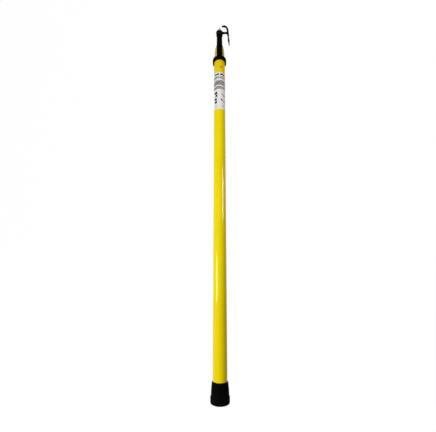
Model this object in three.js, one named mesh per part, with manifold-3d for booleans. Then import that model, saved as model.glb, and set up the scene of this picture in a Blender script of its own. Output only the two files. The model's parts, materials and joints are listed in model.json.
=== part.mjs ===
// Telescopic insulated operating stick, closed up: a 50 mm base tube on a rubber boot, an inner
// tube that slides out of it and locks with a sprung button, and a metal head on which a hook and
// prong tool turns and is clamped by a wing nut.
// Millimetres, +Z up. The origin is the centre of the boot's flat underside, and the front is -Y.

import * as THREE from "three";
import { mergeVertices } from "three/addons/utils/BufferGeometryUtils.js";
import Module from "manifold-3d";

const wasm = await Module();
wasm.setup();

const degrees = THREE.MathUtils.degToRad;

// ---- driving dimensions -------------------------------------------------------------------

const GAP = 0.3; // left where two pieces meet
const TUBE_STEPS = 48; // facets round the tubes and whatever fits them
const SMALL_STEPS = 16; // facets round screws, rivets and holes
const BAR_STEPS = 12; // facets round the tool's bar

const BASE_RADIUS = 25;
const BASE_BORE = 22.4;
const BASE_TOP = 1391;

const TIP_RADIUS = 21.7;
const TIP_BORE = 19;
const TIP_BOTTOM = 30;
const TIP_TOP = 1407;

const BOOT_HEIGHT = 66.5;
const BOOT_FLOOR = 6;
const BOOT_FOOT_RADIUS = 33; // thick band round the foot
const BOOT_FOOT_TOP = 22;
const BOOT_TOP_RADIUS = 28.4;

const COLLAR_RADIUS = 31.5;
const COLLAR_BOTTOM = 1380;
const COLLAR_TOP = 1399;
const COLLAR_LIP = 3; // thickness of the lip that holds the wiper in
const COLLAR_FLUTES = 15; // between the screws, which are five flutes apart
const COLLAR_SCREW_ANGLES = [90, 210, 330];
const COLLAR_SCREW_HEIGHT = 1386;
const SCREW_SHANK = 2;
const SCREW_HEAD = 4;
const SCREW_HEAD_SEAT = 29.2; // distance of the head's underside from the pole's axis
const SCREW_INNER_END = 23.2;

const LABEL_BOTTOM = 1119;
const LABEL_TOP = 1311;
const LABEL_THICKNESS = 0.5;
const LABEL_WRAP = 320; // degrees of the tube that the label covers

const BUTTON_ANGLE = -75; // direction that the lock button faces, in degrees from +X
const LOCK_HOLE_HEIGHT = 1338;
const BUTTON_HEIGHT = 52; // where the button stands with the pole closed
const LOCK_HOLE_RADIUS = 6;
const BUTTON_RADIUS = 5;
const BUTTON_FLANGE_RADIUS = 6.5;
const BUTTON_FLANGE = 2;
const BUTTON_OUTER_END = BASE_BORE - 2 * GAP; // pressed in, clear of the base tube's bore
const BUTTON_LENGTH = 10.9;

const SHOULDER_RADIUS = 24.2; // wider than the tube it closes
const SHOULDER_BARREL_TOP = 1432;
const SHOULDER_TOP = 1481;
const SHOULDER_DOME = 66; // height of the whole dome, which the shoulder's top cuts short
const SHOULDER_SPIGOT = 35;
const STRAP_SEAT = 1.2; // rim left under the straps
const STRAP_FLAT = 18.5; // distance of the shoulder's flats from the axis
const STRAP_HALF_WIDTH = 13.2;
const STRAP_RADIUS = 25; // outer face of the straps
const STRAP_RIVET_HEIGHTS = { lower: 1426, upper: 1460 };
const RIVET_SHANK = 3;
const RIVET_HEAD = 5.5;
const RIVET_HEAD_HEIGHT = 2.2;

const SHANK_RADIUS = 13.2;
const SHANK_TOP = 1538.5;
const FLARE_HEIGHT = 22; // from the straps' roots to the plain shank

const PIVOT_HEIGHT = 1557;
const HEAD_DISC_RADIUS = 15.5;
const HEAD_DISC_THICKNESS = 9.6;
const HUB_RADIUS = 16;
const HUB_THICKNESS = 8.6;
const JOINT_GAP = 0.4; // half the gap between the two serrated discs
const BOLT_RADIUS = 3.9;
const BOLT_HOLE = 4.3;
const BOLT_HEAD_RADIUS = 7.5;
const BOLT_HEAD_THICKNESS = 5.5;
const BOLT_TIP = 25; // how far in front of the pole's axis the bolt ends
const WASHER_RADIUS = 9;
const WASHER_THICKNESS = 1.6;
const SPRING_WASHER_RADIUS = 7.2;
const SPRING_WASHER_THICKNESS = 2;
const WING_NUT_HEIGHT = 8.5;
const WING_THICKNESS = 3;
const WING_REACH = 13;
const WING_TILT = degrees(12); // how far the wings stand from upright

const BAR_RADIUS = 4.4;
const BAR_OFFSET = 40.9; // where the bar crosses the pivot's height
const BAR_LEAN = degrees(4.2); // its foot leans outwards
const ARM_RADIUS = 4.3;
const ARM_DEPTH = 1.2; // how much taller than wide the arm's section is
const HOOK_ROOT = 10; // above the pivot, along the bar, where it starts to bend into the hook
const HOOK_HEIGHT = 39; // of the hook's tip above the pivot
const HOOK_TIP = 13.5; // from the pole's axis
const BAR_FOOT = 23.5; // below the pivot, along the bar
const PRONG_NECK = 7;
const PRONG_SLEEVE_LENGTH = 29.5;
const PRONG_SLEEVE_RADIUS = 4.1;
const PRONG_TIP_LENGTH = 12.5;
const PRONG_PIN_RADIUS = 2.2;
const PRONG_PIN_INSET = 12; // length of the pin inside the bar

const TOOL_CENTRE = -(JOINT_GAP + HUB_THICKNESS / 2); // the tool's middle plane, in Y

// ---- shape helpers ------------------------------------------------------------------------

// A solid of revolution about +Z from a THREE.Path of (radius, height), drawn anticlockwise.
function revolve(path, steps = TUBE_STEPS, arcPoints = 2) {
  const geometry = new THREE.LatheGeometry(path.getPoints(arcPoints), steps);
  return geometry.rotateX(Math.PI / 2);
}

// The same about +Y, for the pieces on the pivot and the rivets.
function revolveAlongY(path, steps = SMALL_STEPS, arcPoints = 3) {
  return new THREE.LatheGeometry(path.getPoints(arcPoints), steps);
}

function outline(points) {
  const path = new THREE.Path();
  path.setFromPoints(points.map(([x, y]) => new THREE.Vector2(x, y)));
  return path;
}

function discPath(radius, bottom, top) {
  return outline([[0, bottom], [radius, bottom], [radius, top], [0, top]]);
}

function ringPath(outer, inner, bottom, top) {
  return outline([[outer, bottom], [outer, top], [inner, top], [inner, bottom], [outer, bottom]]);
}

// A cylinder whose axis points away from the pole's axis at an angle and a height.
function radialCylinder(radius, from, to, angle, height, steps = SMALL_STEPS) {
  const geometry = new THREE.CylinderGeometry(radius, radius, to - from, steps);
  geometry.rotateZ(-Math.PI / 2);
  geometry.translate((from + to) / 2, 0, 0);
  return geometry.rotateZ(degrees(angle)).translate(0, 0, height);
}

function cylinderAlongY(radius, from, to, height, steps = SMALL_STEPS) {
  const geometry = new THREE.CylinderGeometry(radius, radius, to - from, steps);
  return geometry.translate(0, (from + to) / 2, height);
}

function box(low, high) {
  const size = high.map((value, axis) => value - low[axis]);
  const centre = high.map((value, axis) => (value + low[axis]) / 2);
  return new THREE.BoxGeometry(...size).translate(...centre);
}

// ---- joining and cutting ------------------------------------------------------------------

function toSolid(geometry) {
  const bare = geometry.clone();
  bare.deleteAttribute("normal");
  bare.deleteAttribute("uv");
  const merged = mergeVertices(bare, 1e-4);
  const corners = merged.index.array;
  const kept = [];
  for (let i = 0; i < corners.length; i += 3) {
    const [a, b, c] = corners.slice(i, i + 3);
    if (a !== b && b !== c && c !== a) kept.push(a, b, c);
  }
  const mesh = new wasm.Mesh({
    numProp: 3,
    vertProperties: merged.attributes.position.array,
    triVerts: new Uint32Array(kept),
  });
  return new wasm.Manifold(mesh);
}

function toGeometry(solid) {
  const mesh = solid.getMesh();
  const geometry = new THREE.BufferGeometry();
  geometry.setAttribute("position", new THREE.BufferAttribute(mesh.vertProperties, 3));
  geometry.setIndex(new THREE.BufferAttribute(mesh.triVerts, 1));
  geometry.computeVertexNormals();
  return geometry;
}

function join(geometries) {
  return geometries.map(toSolid).reduce((whole, piece) => whole.add(piece));
}

function cut(geometry, cutters) {
  const cutAway = (rest, cutter) => rest.subtract(toSolid(cutter));
  return toGeometry(cutters.reduce(cutAway, toSolid(geometry)));
}

// ---- materials ----------------------------------------------------------------------------

const finish = (color, roughness, metalness = 0) => ({ color, roughness, metalness });

const YELLOW_TUBE = finish(0xe8c806, 0.25);
const PALE_YELLOW = finish(0xc9b65a, 0.45);
const BLACK_RUBBER = finish(0x0c0c0c, 0.85);
const BLACK_PLASTIC = finish(0x121110, 0.5);
const BLACK_METAL = finish(0x0d0d0d, 0.45, 0.6);
const PLATED_STEEL = finish(0x8e8e90, 0.35, 1);
const LABEL_FILM = finish(0xdcd7e1, 0.35);
const GREY_FELT = finish(0x4a4844, 0.95);
const NATURAL_NYLON = finish(0xd9d4c4, 0.5);
const BRASS = finish(0xb08d3c, 0.35, 1);

const stick = new THREE.Group();

function addPiece(name, geometry, look, parent = stick) {
  const mesh = new THREE.Mesh(geometry, new THREE.MeshStandardMaterial(look));
  mesh.name = name;
  parent.add(mesh);
}

// ---- base section -------------------------------------------------------------------------

function footBoot() {
  const corner = 5.4;
  const waist = 30.6;
  const waistHeight = 40;
  const rimDrop = 5; // the rim slopes down from the tube
  const rimWidth = 0.9;
  const reliefRadius = BASE_RADIUS + 2;
  const inner = BASE_RADIUS + GAP;
  const path = new THREE.Path();
  path.moveTo(0, 0);
  path.lineTo(BOOT_FOOT_RADIUS - corner, 0);
  path.absarc(BOOT_FOOT_RADIUS - corner, corner, corner, -Math.PI / 2, 0, false);
  path.lineTo(BOOT_FOOT_RADIUS - 0.4, BOOT_FOOT_TOP - 1);
  path.lineTo(waist + 0.6, BOOT_FOOT_TOP + 2);
  path.lineTo(waist, waistHeight);
  path.lineTo(BOOT_TOP_RADIUS, BOOT_HEIGHT - rimDrop);
  path.lineTo(inner + rimWidth, BOOT_HEIGHT);
  path.lineTo(inner, BOOT_HEIGHT);
  path.lineTo(inner, BUTTON_HEIGHT + BUTTON_RADIUS + 2); // relief that the popped button stands in
  path.lineTo(reliefRadius, BUTTON_HEIGHT + BUTTON_RADIUS + 2);
  path.lineTo(reliefRadius, BUTTON_HEIGHT - BUTTON_RADIUS - 2);
  path.lineTo(inner, BUTTON_HEIGHT - BUTTON_RADIUS - 2);
  path.lineTo(inner, BOOT_FLOOR);
  path.lineTo(0, BOOT_FLOOR);
  return revolve(path);
}

function baseTube() {
  const tube = revolve(ringPath(BASE_RADIUS, BASE_BORE, BOOT_FLOOR + GAP, BASE_TOP));
  const inside = BASE_BORE - 2;
  const outside = BASE_RADIUS + 2;
  const buttonHole = (height) => radialCylinder(LOCK_HOLE_RADIUS, inside, outside, BUTTON_ANGLE, height);
  const screwHole = (angle) =>
    radialCylinder(SCREW_SHANK + GAP, inside, outside, angle, COLLAR_SCREW_HEIGHT);
  return cut(tube, [
    buttonHole(LOCK_HOLE_HEIGHT),
    buttonHole(BUTTON_HEIGHT),
    ...COLLAR_SCREW_ANGLES.map(screwHole),
  ]);
}

// A cup that closes the tube's foot and holds the buffer.
const PLUG_BOTTOM = BOOT_FLOOR + GAP;
const PLUG_FLOOR = PLUG_BOTTOM + 4;
const PLUG_TOP = 20;
const PLUG_INNER = 19.5;
const BUFFER_TOP = 21;

function basePlug() {
  const outer = BASE_BORE - GAP;
  return revolve(outline([
    [0, PLUG_BOTTOM],
    [outer, PLUG_BOTTOM],
    [outer, PLUG_TOP],
    [PLUG_INNER, PLUG_TOP],
    [PLUG_INNER, PLUG_FLOOR],
    [0, PLUG_FLOOR],
  ]));
}

function stopBuffer() {
  return revolve(discPath(PLUG_INNER - GAP, PLUG_FLOOR + GAP, BUFFER_TOP));
}

function collar() {
  const corner = 1.2;
  const seatBore = BASE_RADIUS + GAP;
  const lipBore = TIP_RADIUS + 2 * GAP;
  const path = new THREE.Path();
  path.moveTo(seatBore, COLLAR_BOTTOM);
  path.lineTo(COLLAR_RADIUS - corner, COLLAR_BOTTOM);
  path.absarc(COLLAR_RADIUS - corner, COLLAR_BOTTOM + corner, corner, -Math.PI / 2, 0, false);
  path.lineTo(COLLAR_RADIUS, COLLAR_TOP - corner);
  path.absarc(COLLAR_RADIUS - corner, COLLAR_TOP - corner, corner, 0, Math.PI / 2, false);
  path.lineTo(lipBore, COLLAR_TOP);
  path.lineTo(lipBore, COLLAR_TOP - COLLAR_LIP);
  path.lineTo(seatBore, COLLAR_TOP - COLLAR_LIP);
  path.lineTo(seatBore, COLLAR_BOTTOM);
  const ring = revolve(path);

  const fluteRadius = 2.5;
  const fluteDepth = 0.7;
  const fluteLength = 11;
  const cutters = [];
  for (let i = 0; i < COLLAR_FLUTES; i += 1) {
    const flute = new THREE.CylinderGeometry(fluteRadius, fluteRadius, fluteLength, 8);
    flute.rotateX(Math.PI / 2);
    flute.translate(COLLAR_RADIUS + fluteRadius - fluteDepth, 0, (COLLAR_BOTTOM + COLLAR_TOP) / 2);
    const pastScrew = (360 / COLLAR_FLUTES) * (i + 0.5);
    cutters.push(flute.rotateZ(degrees(COLLAR_SCREW_ANGLES[0] + pastScrew)));
  }
  for (const angle of COLLAR_SCREW_ANGLES) {
    const shankHole = SCREW_SHANK + GAP;
    const headHole = SCREW_HEAD + GAP;
    const outside = COLLAR_RADIUS + 2;
    cutters.push(radialCylinder(shankHole, TIP_RADIUS, outside, angle, COLLAR_SCREW_HEIGHT));
    cutters.push(radialCylinder(headHole, SCREW_HEAD_SEAT - GAP, outside, angle, COLLAR_SCREW_HEIGHT));
  }
  return cut(ring, cutters);
}

const BUSHING_TOP = 1393.3;
const GUIDE_BORE = TIP_RADIUS + GAP + 0.05;

function collarBushing() {
  return revolve(ringPath(BASE_RADIUS, GUIDE_BORE, BASE_TOP + GAP, BUSHING_TOP));
}

function wiperRing() {
  return revolve(ringPath(BASE_RADIUS, GUIDE_BORE, BUSHING_TOP + GAP, COLLAR_TOP - COLLAR_LIP - GAP));
}

function collarScrew(angle) {
  const headEnd = COLLAR_RADIUS - 0.5;
  const place = [angle, COLLAR_SCREW_HEIGHT];
  const shank = radialCylinder(SCREW_SHANK, SCREW_INNER_END, SCREW_HEAD_SEAT + 0.5, ...place);
  const head = radialCylinder(SCREW_HEAD, SCREW_HEAD_SEAT, headEnd, ...place);
  const socket = radialCylinder(1.7, headEnd - 1, headEnd + 1, ...place, 6);
  return toGeometry(join([shank, head]).subtract(toSolid(socket)));
}

function labelSleeve() {
  const inner = BASE_RADIUS + GAP + 0.05;
  const outer = inner + LABEL_THICKNESS;
  const start = degrees(90 + (360 - LABEL_WRAP) / 2); // the open seam faces the back
  const end = start + degrees(LABEL_WRAP);
  const section = new THREE.Shape();
  section.absarc(0, 0, outer, start, end, false);
  section.absarc(0, 0, inner, end, start, true);
  const geometry = new THREE.ExtrudeGeometry(section, {
    depth: LABEL_TOP - LABEL_BOTTOM,
    bevelEnabled: false,
    curveSegments: TUBE_STEPS / 2,
  });
  return geometry.translate(0, 0, LABEL_BOTTOM);
}

addPiece("foot_boot", footBoot(), BLACK_RUBBER);
addPiece("base_tube", baseTube(), YELLOW_TUBE);
addPiece("base_plug", basePlug(), BLACK_PLASTIC);
addPiece("stop_buffer", stopBuffer(), BLACK_RUBBER);
addPiece("collar", collar(), BLACK_PLASTIC);
addPiece("collar_bushing", collarBushing(), NATURAL_NYLON);
addPiece("wiper_ring", wiperRing(), GREY_FELT);
COLLAR_SCREW_ANGLES.forEach((angle, i) => {
  addPiece(`collar_screw_${i + 1}`, collarScrew(angle), BLACK_METAL);
});
addPiece("label_sleeve", labelSleeve(), LABEL_FILM);

// ---- inner section ------------------------------------------------------------------------

function tipTube() {
  const tube = revolve(ringPath(TIP_RADIUS, TIP_BORE, TIP_BOTTOM, TIP_TOP));
  const place = [BUTTON_ANGLE, BUTTON_HEIGHT];
  return cut(tube, [radialCylinder(BUTTON_RADIUS + GAP, TIP_BORE - 2, TIP_RADIUS + 2, ...place)]);
}

const SLIDER_BORE = 14;
const SLIDER_TOP = 44;

function guideSlider() {
  const flange = BASE_BORE - GAP;
  const spigot = TIP_BORE - GAP;
  const bottom = BUFFER_TOP + GAP;
  return revolve(outline([
    [flange, bottom],
    [flange, TIP_BOTTOM - GAP],
    [spigot, TIP_BOTTOM - GAP],
    [spigot, SLIDER_TOP],
    [SLIDER_BORE, SLIDER_TOP],
    [SLIDER_BORE, bottom],
    [flange, bottom],
  ]));
}

function tubeBung() {
  return revolve(discPath(SLIDER_BORE - GAP, BUFFER_TOP + 2, SLIDER_TOP - 6));
}

// A nose plug: a spigot in the tube, a barrel a little wider than the tube, and a long dome,
// with a flat slot at the front and the back for the head's straps.
function shoulder() {
  const spigot = TIP_BORE - GAP;
  const chamfer = 2;
  const domeEnd = Math.asin((SHOULDER_TOP - SHOULDER_BARREL_TOP) / SHOULDER_DOME);
  const path = new THREE.Path();
  path.moveTo(0, TIP_TOP - SHOULDER_SPIGOT);
  path.lineTo(spigot, TIP_TOP - SHOULDER_SPIGOT);
  path.lineTo(spigot, TIP_TOP + GAP);
  path.lineTo(TIP_RADIUS, TIP_TOP + GAP);
  path.lineTo(SHOULDER_RADIUS, TIP_TOP + GAP + chamfer);
  path.lineTo(SHOULDER_RADIUS, SHOULDER_BARREL_TOP);
  path.absellipse(0, SHOULDER_BARREL_TOP, SHOULDER_RADIUS, SHOULDER_DOME, 0, domeEnd, false);
  path.lineTo(0, SHOULDER_TOP);

  const slotHalf = STRAP_HALF_WIDTH + GAP;
  const slotBottom = TIP_TOP + STRAP_SEAT;
  const beyond = SHOULDER_RADIUS + 2;
  const cutters = [
    box([-slotHalf, STRAP_FLAT, slotBottom], [slotHalf, beyond, SHOULDER_TOP + 1]),
    box([-slotHalf, -beyond, slotBottom], [slotHalf, -STRAP_FLAT, SHOULDER_TOP + 1]),
  ];
  for (const height of Object.values(STRAP_RIVET_HEIGHTS)) {
    cutters.push(cylinderAlongY(RIVET_SHANK + GAP, -beyond, beyond, height));
  }
  return cut(revolve(path, TUBE_STEPS, 4), cutters);
}

// Two straps that clasp the shoulder, a round shank, and a half-thickness disc for the tool.
function universalHead() {
  const strapBottom = TIP_TOP + STRAP_SEAT + GAP;
  const crotch = SHOULDER_TOP + 0.8;
  const flareTop = crotch + FLARE_HEIGHT;
  const strapBox = (side) => {
    const near = side * (STRAP_FLAT + GAP);
    const far = side * (STRAP_RADIUS + 2);
    const [low, high] = near < far ? [near, far] : [far, near];
    return box([-STRAP_HALF_WIDTH, low, strapBottom], [STRAP_HALF_WIDTH, high, crotch + 2]);
  };
  const strapRound = toSolid(revolve(discPath(STRAP_RADIUS, strapBottom, crotch + 2)));
  const straps = join([strapBox(1), strapBox(-1)]).intersect(strapRound);

  const flarePath = new THREE.Path();
  flarePath.moveTo(0, crotch);
  flarePath.lineTo(STRAP_RADIUS, crotch);
  flarePath.lineTo(STRAP_RADIUS, crotch + 4);
  flarePath.quadraticCurveTo(SHANK_RADIUS, crotch + 8, SHANK_RADIUS - 0.5, flareTop);
  flarePath.lineTo(0, flareTop);
  const flareWidth = box(
    [-STRAP_HALF_WIDTH, -STRAP_RADIUS, crotch],
    [STRAP_HALF_WIDTH, STRAP_RADIUS, flareTop],
  );
  const flare = toSolid(revolve(flarePath, TUBE_STEPS, 5)).intersect(toSolid(flareWidth));

  const bevel = 2;
  const shank = revolve(outline([
    [0, crotch],
    [SHANK_RADIUS, crotch],
    [SHANK_RADIUS, SHANK_TOP - bevel],
    [SHANK_RADIUS - bevel, SHANK_TOP],
    [0, SHANK_TOP],
  ]));
  const discBack = JOINT_GAP + HEAD_DISC_THICKNESS;
  const neckHalf = SHANK_RADIUS - 0.6;
  const neck = box([-neckHalf, JOINT_GAP, SHANK_TOP - 10], [neckHalf, discBack, PIVOT_HEIGHT]);
  const disc = cylinderAlongY(HEAD_DISC_RADIUS, JOINT_GAP, discBack, PIVOT_HEIGHT, 36);
  const body = join([shank, neck, disc]).add(straps).add(flare);

  const holes = [cylinderAlongY(BOLT_HOLE, -JOINT_GAP, discBack + 1, PIVOT_HEIGHT)];
  for (const height of Object.values(STRAP_RIVET_HEIGHTS)) {
    const through = STRAP_RADIUS + 2;
    holes.push(cylinderAlongY(RIVET_SHANK + GAP, -through, through, height));
  }
  return toGeometry(holes.map(toSolid).reduce((rest, hole) => rest.subtract(hole), body));
}

// One rivet right through both straps, with a domed head at each end.
function strapRivet(height) {
  const seat = STRAP_RADIUS + GAP;
  const rim = 0.4;
  const top = seat + RIVET_HEAD_HEIGHT;
  const path = new THREE.Path();
  path.moveTo(0, -top);
  path.quadraticCurveTo(RIVET_HEAD * 0.8, -top, RIVET_HEAD, -seat - rim);
  path.lineTo(RIVET_HEAD, -seat);
  path.lineTo(RIVET_SHANK, -seat);
  path.lineTo(RIVET_SHANK, seat);
  path.lineTo(RIVET_HEAD, seat);
  path.lineTo(RIVET_HEAD, seat + rim);
  path.quadraticCurveTo(RIVET_HEAD * 0.8, top, 0, top);
  return revolveAlongY(path).translate(0, 0, height);
}

addPiece("tip_tube", tipTube(), YELLOW_TUBE);
addPiece("guide_slider", guideSlider(), NATURAL_NYLON);
addPiece("tube_bung", tubeBung(), BLACK_RUBBER);
addPiece("shoulder", shoulder(), PALE_YELLOW);
addPiece("universal_head", universalHead(), BLACK_METAL);
for (const [place, height] of Object.entries(STRAP_RIVET_HEIGHTS)) {
  addPiece(`strap_rivet_${place}`, strapRivet(height), BLACK_METAL);
}

// ---- lock button --------------------------------------------------------------------------

// These two are drawn facing +X and then turned to the button's direction.
function lockButton() {
  const nose = 1.2;
  const flangeFace = BUTTON_OUTER_END - BUTTON_LENGTH + BUTTON_FLANGE;
  const path = new THREE.Path();
  path.moveTo(0, flangeFace - BUTTON_FLANGE);
  path.lineTo(BUTTON_FLANGE_RADIUS, flangeFace - BUTTON_FLANGE);
  path.lineTo(BUTTON_FLANGE_RADIUS, flangeFace);
  path.lineTo(BUTTON_RADIUS, flangeFace);
  path.lineTo(BUTTON_RADIUS, BUTTON_OUTER_END - nose);
  path.quadraticCurveTo(BUTTON_RADIUS, BUTTON_OUTER_END, BUTTON_RADIUS * 0.6, BUTTON_OUTER_END);
  path.lineTo(0, BUTTON_OUTER_END);
  return revolveAlongY(path).rotateZ(-Math.PI / 2);
}

// A hairpin leaf spring: one leg behind the button, the other on the far wall of the tube.
function buttonSpring() {
  const leaf = 0.8;
  const width = 10;
  const legBottom = -BUTTON_FLANGE_RADIUS;
  const legTop = 36;
  const front = BUTTON_OUTER_END - BUTTON_LENGTH - GAP;
  const back = -(TIP_BORE - 1);
  const bend = (front - back) / 2;
  const centre = (front + back) / 2;
  const shape = new THREE.Shape();
  shape.moveTo(front, legBottom);
  shape.lineTo(front, legTop);
  shape.absarc(centre, legTop, bend, 0, Math.PI, false);
  shape.lineTo(back, legBottom);
  shape.lineTo(back + leaf, legBottom);
  shape.lineTo(back + leaf, legTop);
  shape.absarc(centre, legTop, bend - leaf, Math.PI, 0, true);
  shape.lineTo(front - leaf, legBottom);
  const options = { depth: width, bevelEnabled: false, curveSegments: 10 };
  return new THREE.ExtrudeGeometry(shape, options).translate(0, 0, -width / 2).rotateX(Math.PI / 2);
}

const buttonGroup = new THREE.Group();
buttonGroup.position.z = BUTTON_HEIGHT;
buttonGroup.rotation.z = degrees(BUTTON_ANGLE);
stick.add(buttonGroup);
addPiece("lock_button", lockButton(), BRASS, buttonGroup);
addPiece("button_spring", buttonSpring(), PLATED_STEEL, buttonGroup);

// ---- pivot hardware -----------------------------------------------------------------------

// These are drawn on the Y axis, and the group lifts them to the pivot.
const WASHER_BACK = -(JOINT_GAP + HUB_THICKNESS + GAP);
const SPRING_WASHER_BACK = WASHER_BACK - WASHER_THICKNESS - GAP;
const WING_NUT_BACK = SPRING_WASHER_BACK - SPRING_WASHER_THICKNESS - GAP;

function pivotBolt() {
  const headFace = JOINT_GAP + HEAD_DISC_THICKNESS + GAP;
  const point = 1;
  const shank = revolveAlongY(outline([
    [0, -BOLT_TIP],
    [BOLT_RADIUS - point, -BOLT_TIP],
    [BOLT_RADIUS, -BOLT_TIP + point],
    [BOLT_RADIUS, headFace + 1],
    [0, headFace + 1],
  ]));
  const head = cylinderAlongY(BOLT_HEAD_RADIUS, headFace, headFace + BOLT_HEAD_THICKNESS, 0, 6);
  return toGeometry(join([shank, head]));
}

function nutWasher() {
  return revolveAlongY(ringPath(WASHER_RADIUS, BOLT_HOLE, WASHER_BACK - WASHER_THICKNESS, WASHER_BACK));
}

function springWasher() {
  const split = degrees(14);
  const section = new THREE.Shape();
  section.absarc(0, 0, SPRING_WASHER_RADIUS, split, 2 * Math.PI, false);
  section.absarc(0, 0, BOLT_HOLE, 2 * Math.PI, split, true);
  const options = { depth: SPRING_WASHER_THICKNESS, bevelEnabled: false, curveSegments: SMALL_STEPS };
  const geometry = new THREE.ExtrudeGeometry(section, options);
  return geometry.rotateX(Math.PI / 2).translate(0, SPRING_WASHER_BACK, 0);
}

function wingNut() {
  const top = -WING_NUT_HEIGHT;
  const cone = revolveAlongY(outline([[0, top], [5.4, top], [7, 0], [0, 0]]));
  const wing = new THREE.Shape();
  wing.moveTo(3, -1);
  wing.lineTo(6.6, -1);
  wing.quadraticCurveTo(8, -3.5, WING_REACH - 3.4, -4.4);
  wing.quadraticCurveTo(WING_REACH + 0.4, -5.4, WING_REACH, -9);
  wing.quadraticCurveTo(WING_REACH - 1, -13, WING_REACH - 4.4, -11.2);
  wing.quadraticCurveTo(7, -8.4, 4, top + 0.3);
  wing.lineTo(3, top + 0.3);
  const options = { depth: WING_THICKNESS, bevelEnabled: false, curveSegments: 5 };
  const right = new THREE.ExtrudeGeometry(wing, options).translate(0, 0, -WING_THICKNESS / 2);
  const left = right.clone().rotateY(Math.PI);
  const bore = cylinderAlongY(BOLT_HOLE, top - 1, 1, 0);
  const nut = join([cone, right, left]).subtract(toSolid(bore));
  return toGeometry(nut).rotateY(WING_TILT - Math.PI / 2).translate(0, WING_NUT_BACK, 0);
}

const pivotGroup = new THREE.Group();
pivotGroup.position.z = PIVOT_HEIGHT;
stick.add(pivotGroup);
addPiece("pivot_bolt", pivotBolt(), BLACK_METAL, pivotGroup);
addPiece("nut_washer", nutWasher(), PLATED_STEEL, pivotGroup);
addPiece("spring_washer", springWasher(), PLATED_STEEL, pivotGroup);
addPiece("wing_nut", wingNut(), BLACK_METAL, pivotGroup);

// ---- hook and prong tool ------------------------------------------------------------------

// A point on the bar's axis, at a distance along it above the pivot's height.
function onBar(along) {
  const x = BAR_OFFSET - along * Math.sin(BAR_LEAN);
  return new THREE.Vector3(x, TOOL_CENTRE, along * Math.cos(BAR_LEAN));
}

// A piece drawn along +Z, laid on the bar's axis.
function placeOnBar(geometry) {
  const start = onBar(0);
  return geometry.rotateY(-BAR_LEAN).translate(start.x, start.y, start.z);
}

// The bar bends over in one sweep from the arm to the hook's tip.
function hookBar() {
  const root = onBar(HOOK_ROOT);
  const tip = new THREE.Vector3(HOOK_TIP, TOOL_CENTRE, HOOK_HEIGHT);
  const abovePivot = new THREE.Vector3(HOOK_TIP + 17, TOOL_CENTRE, HOOK_HEIGHT + 8.5);
  const path = new THREE.CurvePath();
  path.add(new THREE.CubicBezierCurve3(tip, abovePivot, onBar(HOOK_ROOT + 22), root));
  path.add(new THREE.LineCurve3(root, onBar(-BAR_FOOT)));
  const section = new THREE.Shape().absarc(0, 0, BAR_RADIUS, 0, 2 * Math.PI, false);
  return new THREE.ExtrudeGeometry(section, {
    steps: 22,
    curveSegments: BAR_STEPS,
    extrudePath: path,
  });
}

function disconnectTool() {
  const hubBack = -JOINT_GAP;
  const hubFront = -JOINT_GAP - HUB_THICKNESS;
  const bevel = 1;
  const hub = revolveAlongY(outline([
    [0, hubFront],
    [HUB_RADIUS - bevel, hubFront],
    [HUB_RADIUS, hubFront + bevel],
    [HUB_RADIUS, hubBack],
    [0, hubBack],
  ]), 36);
  const armRoot = ARM_RADIUS + 0.1;
  const arm = new THREE.CylinderGeometry(ARM_RADIUS, armRoot, BAR_OFFSET, BAR_STEPS);
  arm.rotateZ(-Math.PI / 2).scale(1, 1, ARM_DEPTH).translate(BAR_OFFSET / 2, TOOL_CENTRE, 0);
  const tipBall = new THREE.SphereGeometry(BAR_RADIUS - 0.2, BAR_STEPS, 8);
  tipBall.translate(HOOK_TIP, TOOL_CENTRE, HOOK_HEIGHT);

  const body = join([hub, arm, hookBar(), tipBall]);
  const bore = cylinderAlongY(BOLT_HOLE, hubFront - 1, hubBack + 1, 0);
  const socketTop = PRONG_PIN_INSET - BAR_FOOT + GAP;
  const socket = placeOnBar(revolve(
    discPath(PRONG_PIN_RADIUS + GAP, -BAR_FOOT - 5, socketTop),
    BAR_STEPS,
  ));
  return toGeometry(body.subtract(toSolid(bore)).subtract(toSolid(socket)));
}

const SLEEVE_TOP = -BAR_FOOT - PRONG_NECK;
const SLEEVE_BOTTOM = SLEEVE_TOP - PRONG_SLEEVE_LENGTH;

function prongSleeve() {
  const bore = PRONG_PIN_RADIUS + GAP;
  return placeOnBar(revolve(ringPath(PRONG_SLEEVE_RADIUS, bore, SLEEVE_BOTTOM, SLEEVE_TOP), SMALL_STEPS));
}

function prongPin() {
  const tipTop = SLEEVE_BOTTOM - GAP;
  const tipBottom = tipTop - PRONG_TIP_LENGTH;
  const tipRound = 2;
  const path = new THREE.Path();
  path.moveTo(0, tipBottom);
  path.lineTo(PRONG_SLEEVE_RADIUS - tipRound, tipBottom);
  path.absarc(PRONG_SLEEVE_RADIUS - tipRound, tipBottom + tipRound, tipRound, -Math.PI / 2, 0, false);
  path.lineTo(PRONG_SLEEVE_RADIUS, tipTop);
  path.lineTo(PRONG_PIN_RADIUS, tipTop);
  path.lineTo(PRONG_PIN_RADIUS, PRONG_PIN_INSET - BAR_FOOT);
  path.lineTo(0, PRONG_PIN_INSET - BAR_FOOT);
  return placeOnBar(revolve(path, SMALL_STEPS));
}

addPiece("disconnect_tool", disconnectTool(), BLACK_METAL, pivotGroup);
addPiece("prong_sleeve", prongSleeve(), BLACK_PLASTIC, pivotGroup);
addPiece("prong_pin", prongPin(), PLATED_STEEL, pivotGroup);

export default stick;
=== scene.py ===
"""Telescopic operating stick with a hook and prong head: the looks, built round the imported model.

Metres, +Z up, the same frame as the model. Profiles are written in millimetres and scaled as
they become meshes. The front of the stick, where the wing nut is, faces -Y.
"""

import json
import math

import bmesh
import bpy
from mathutils import Matrix, Vector


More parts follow.
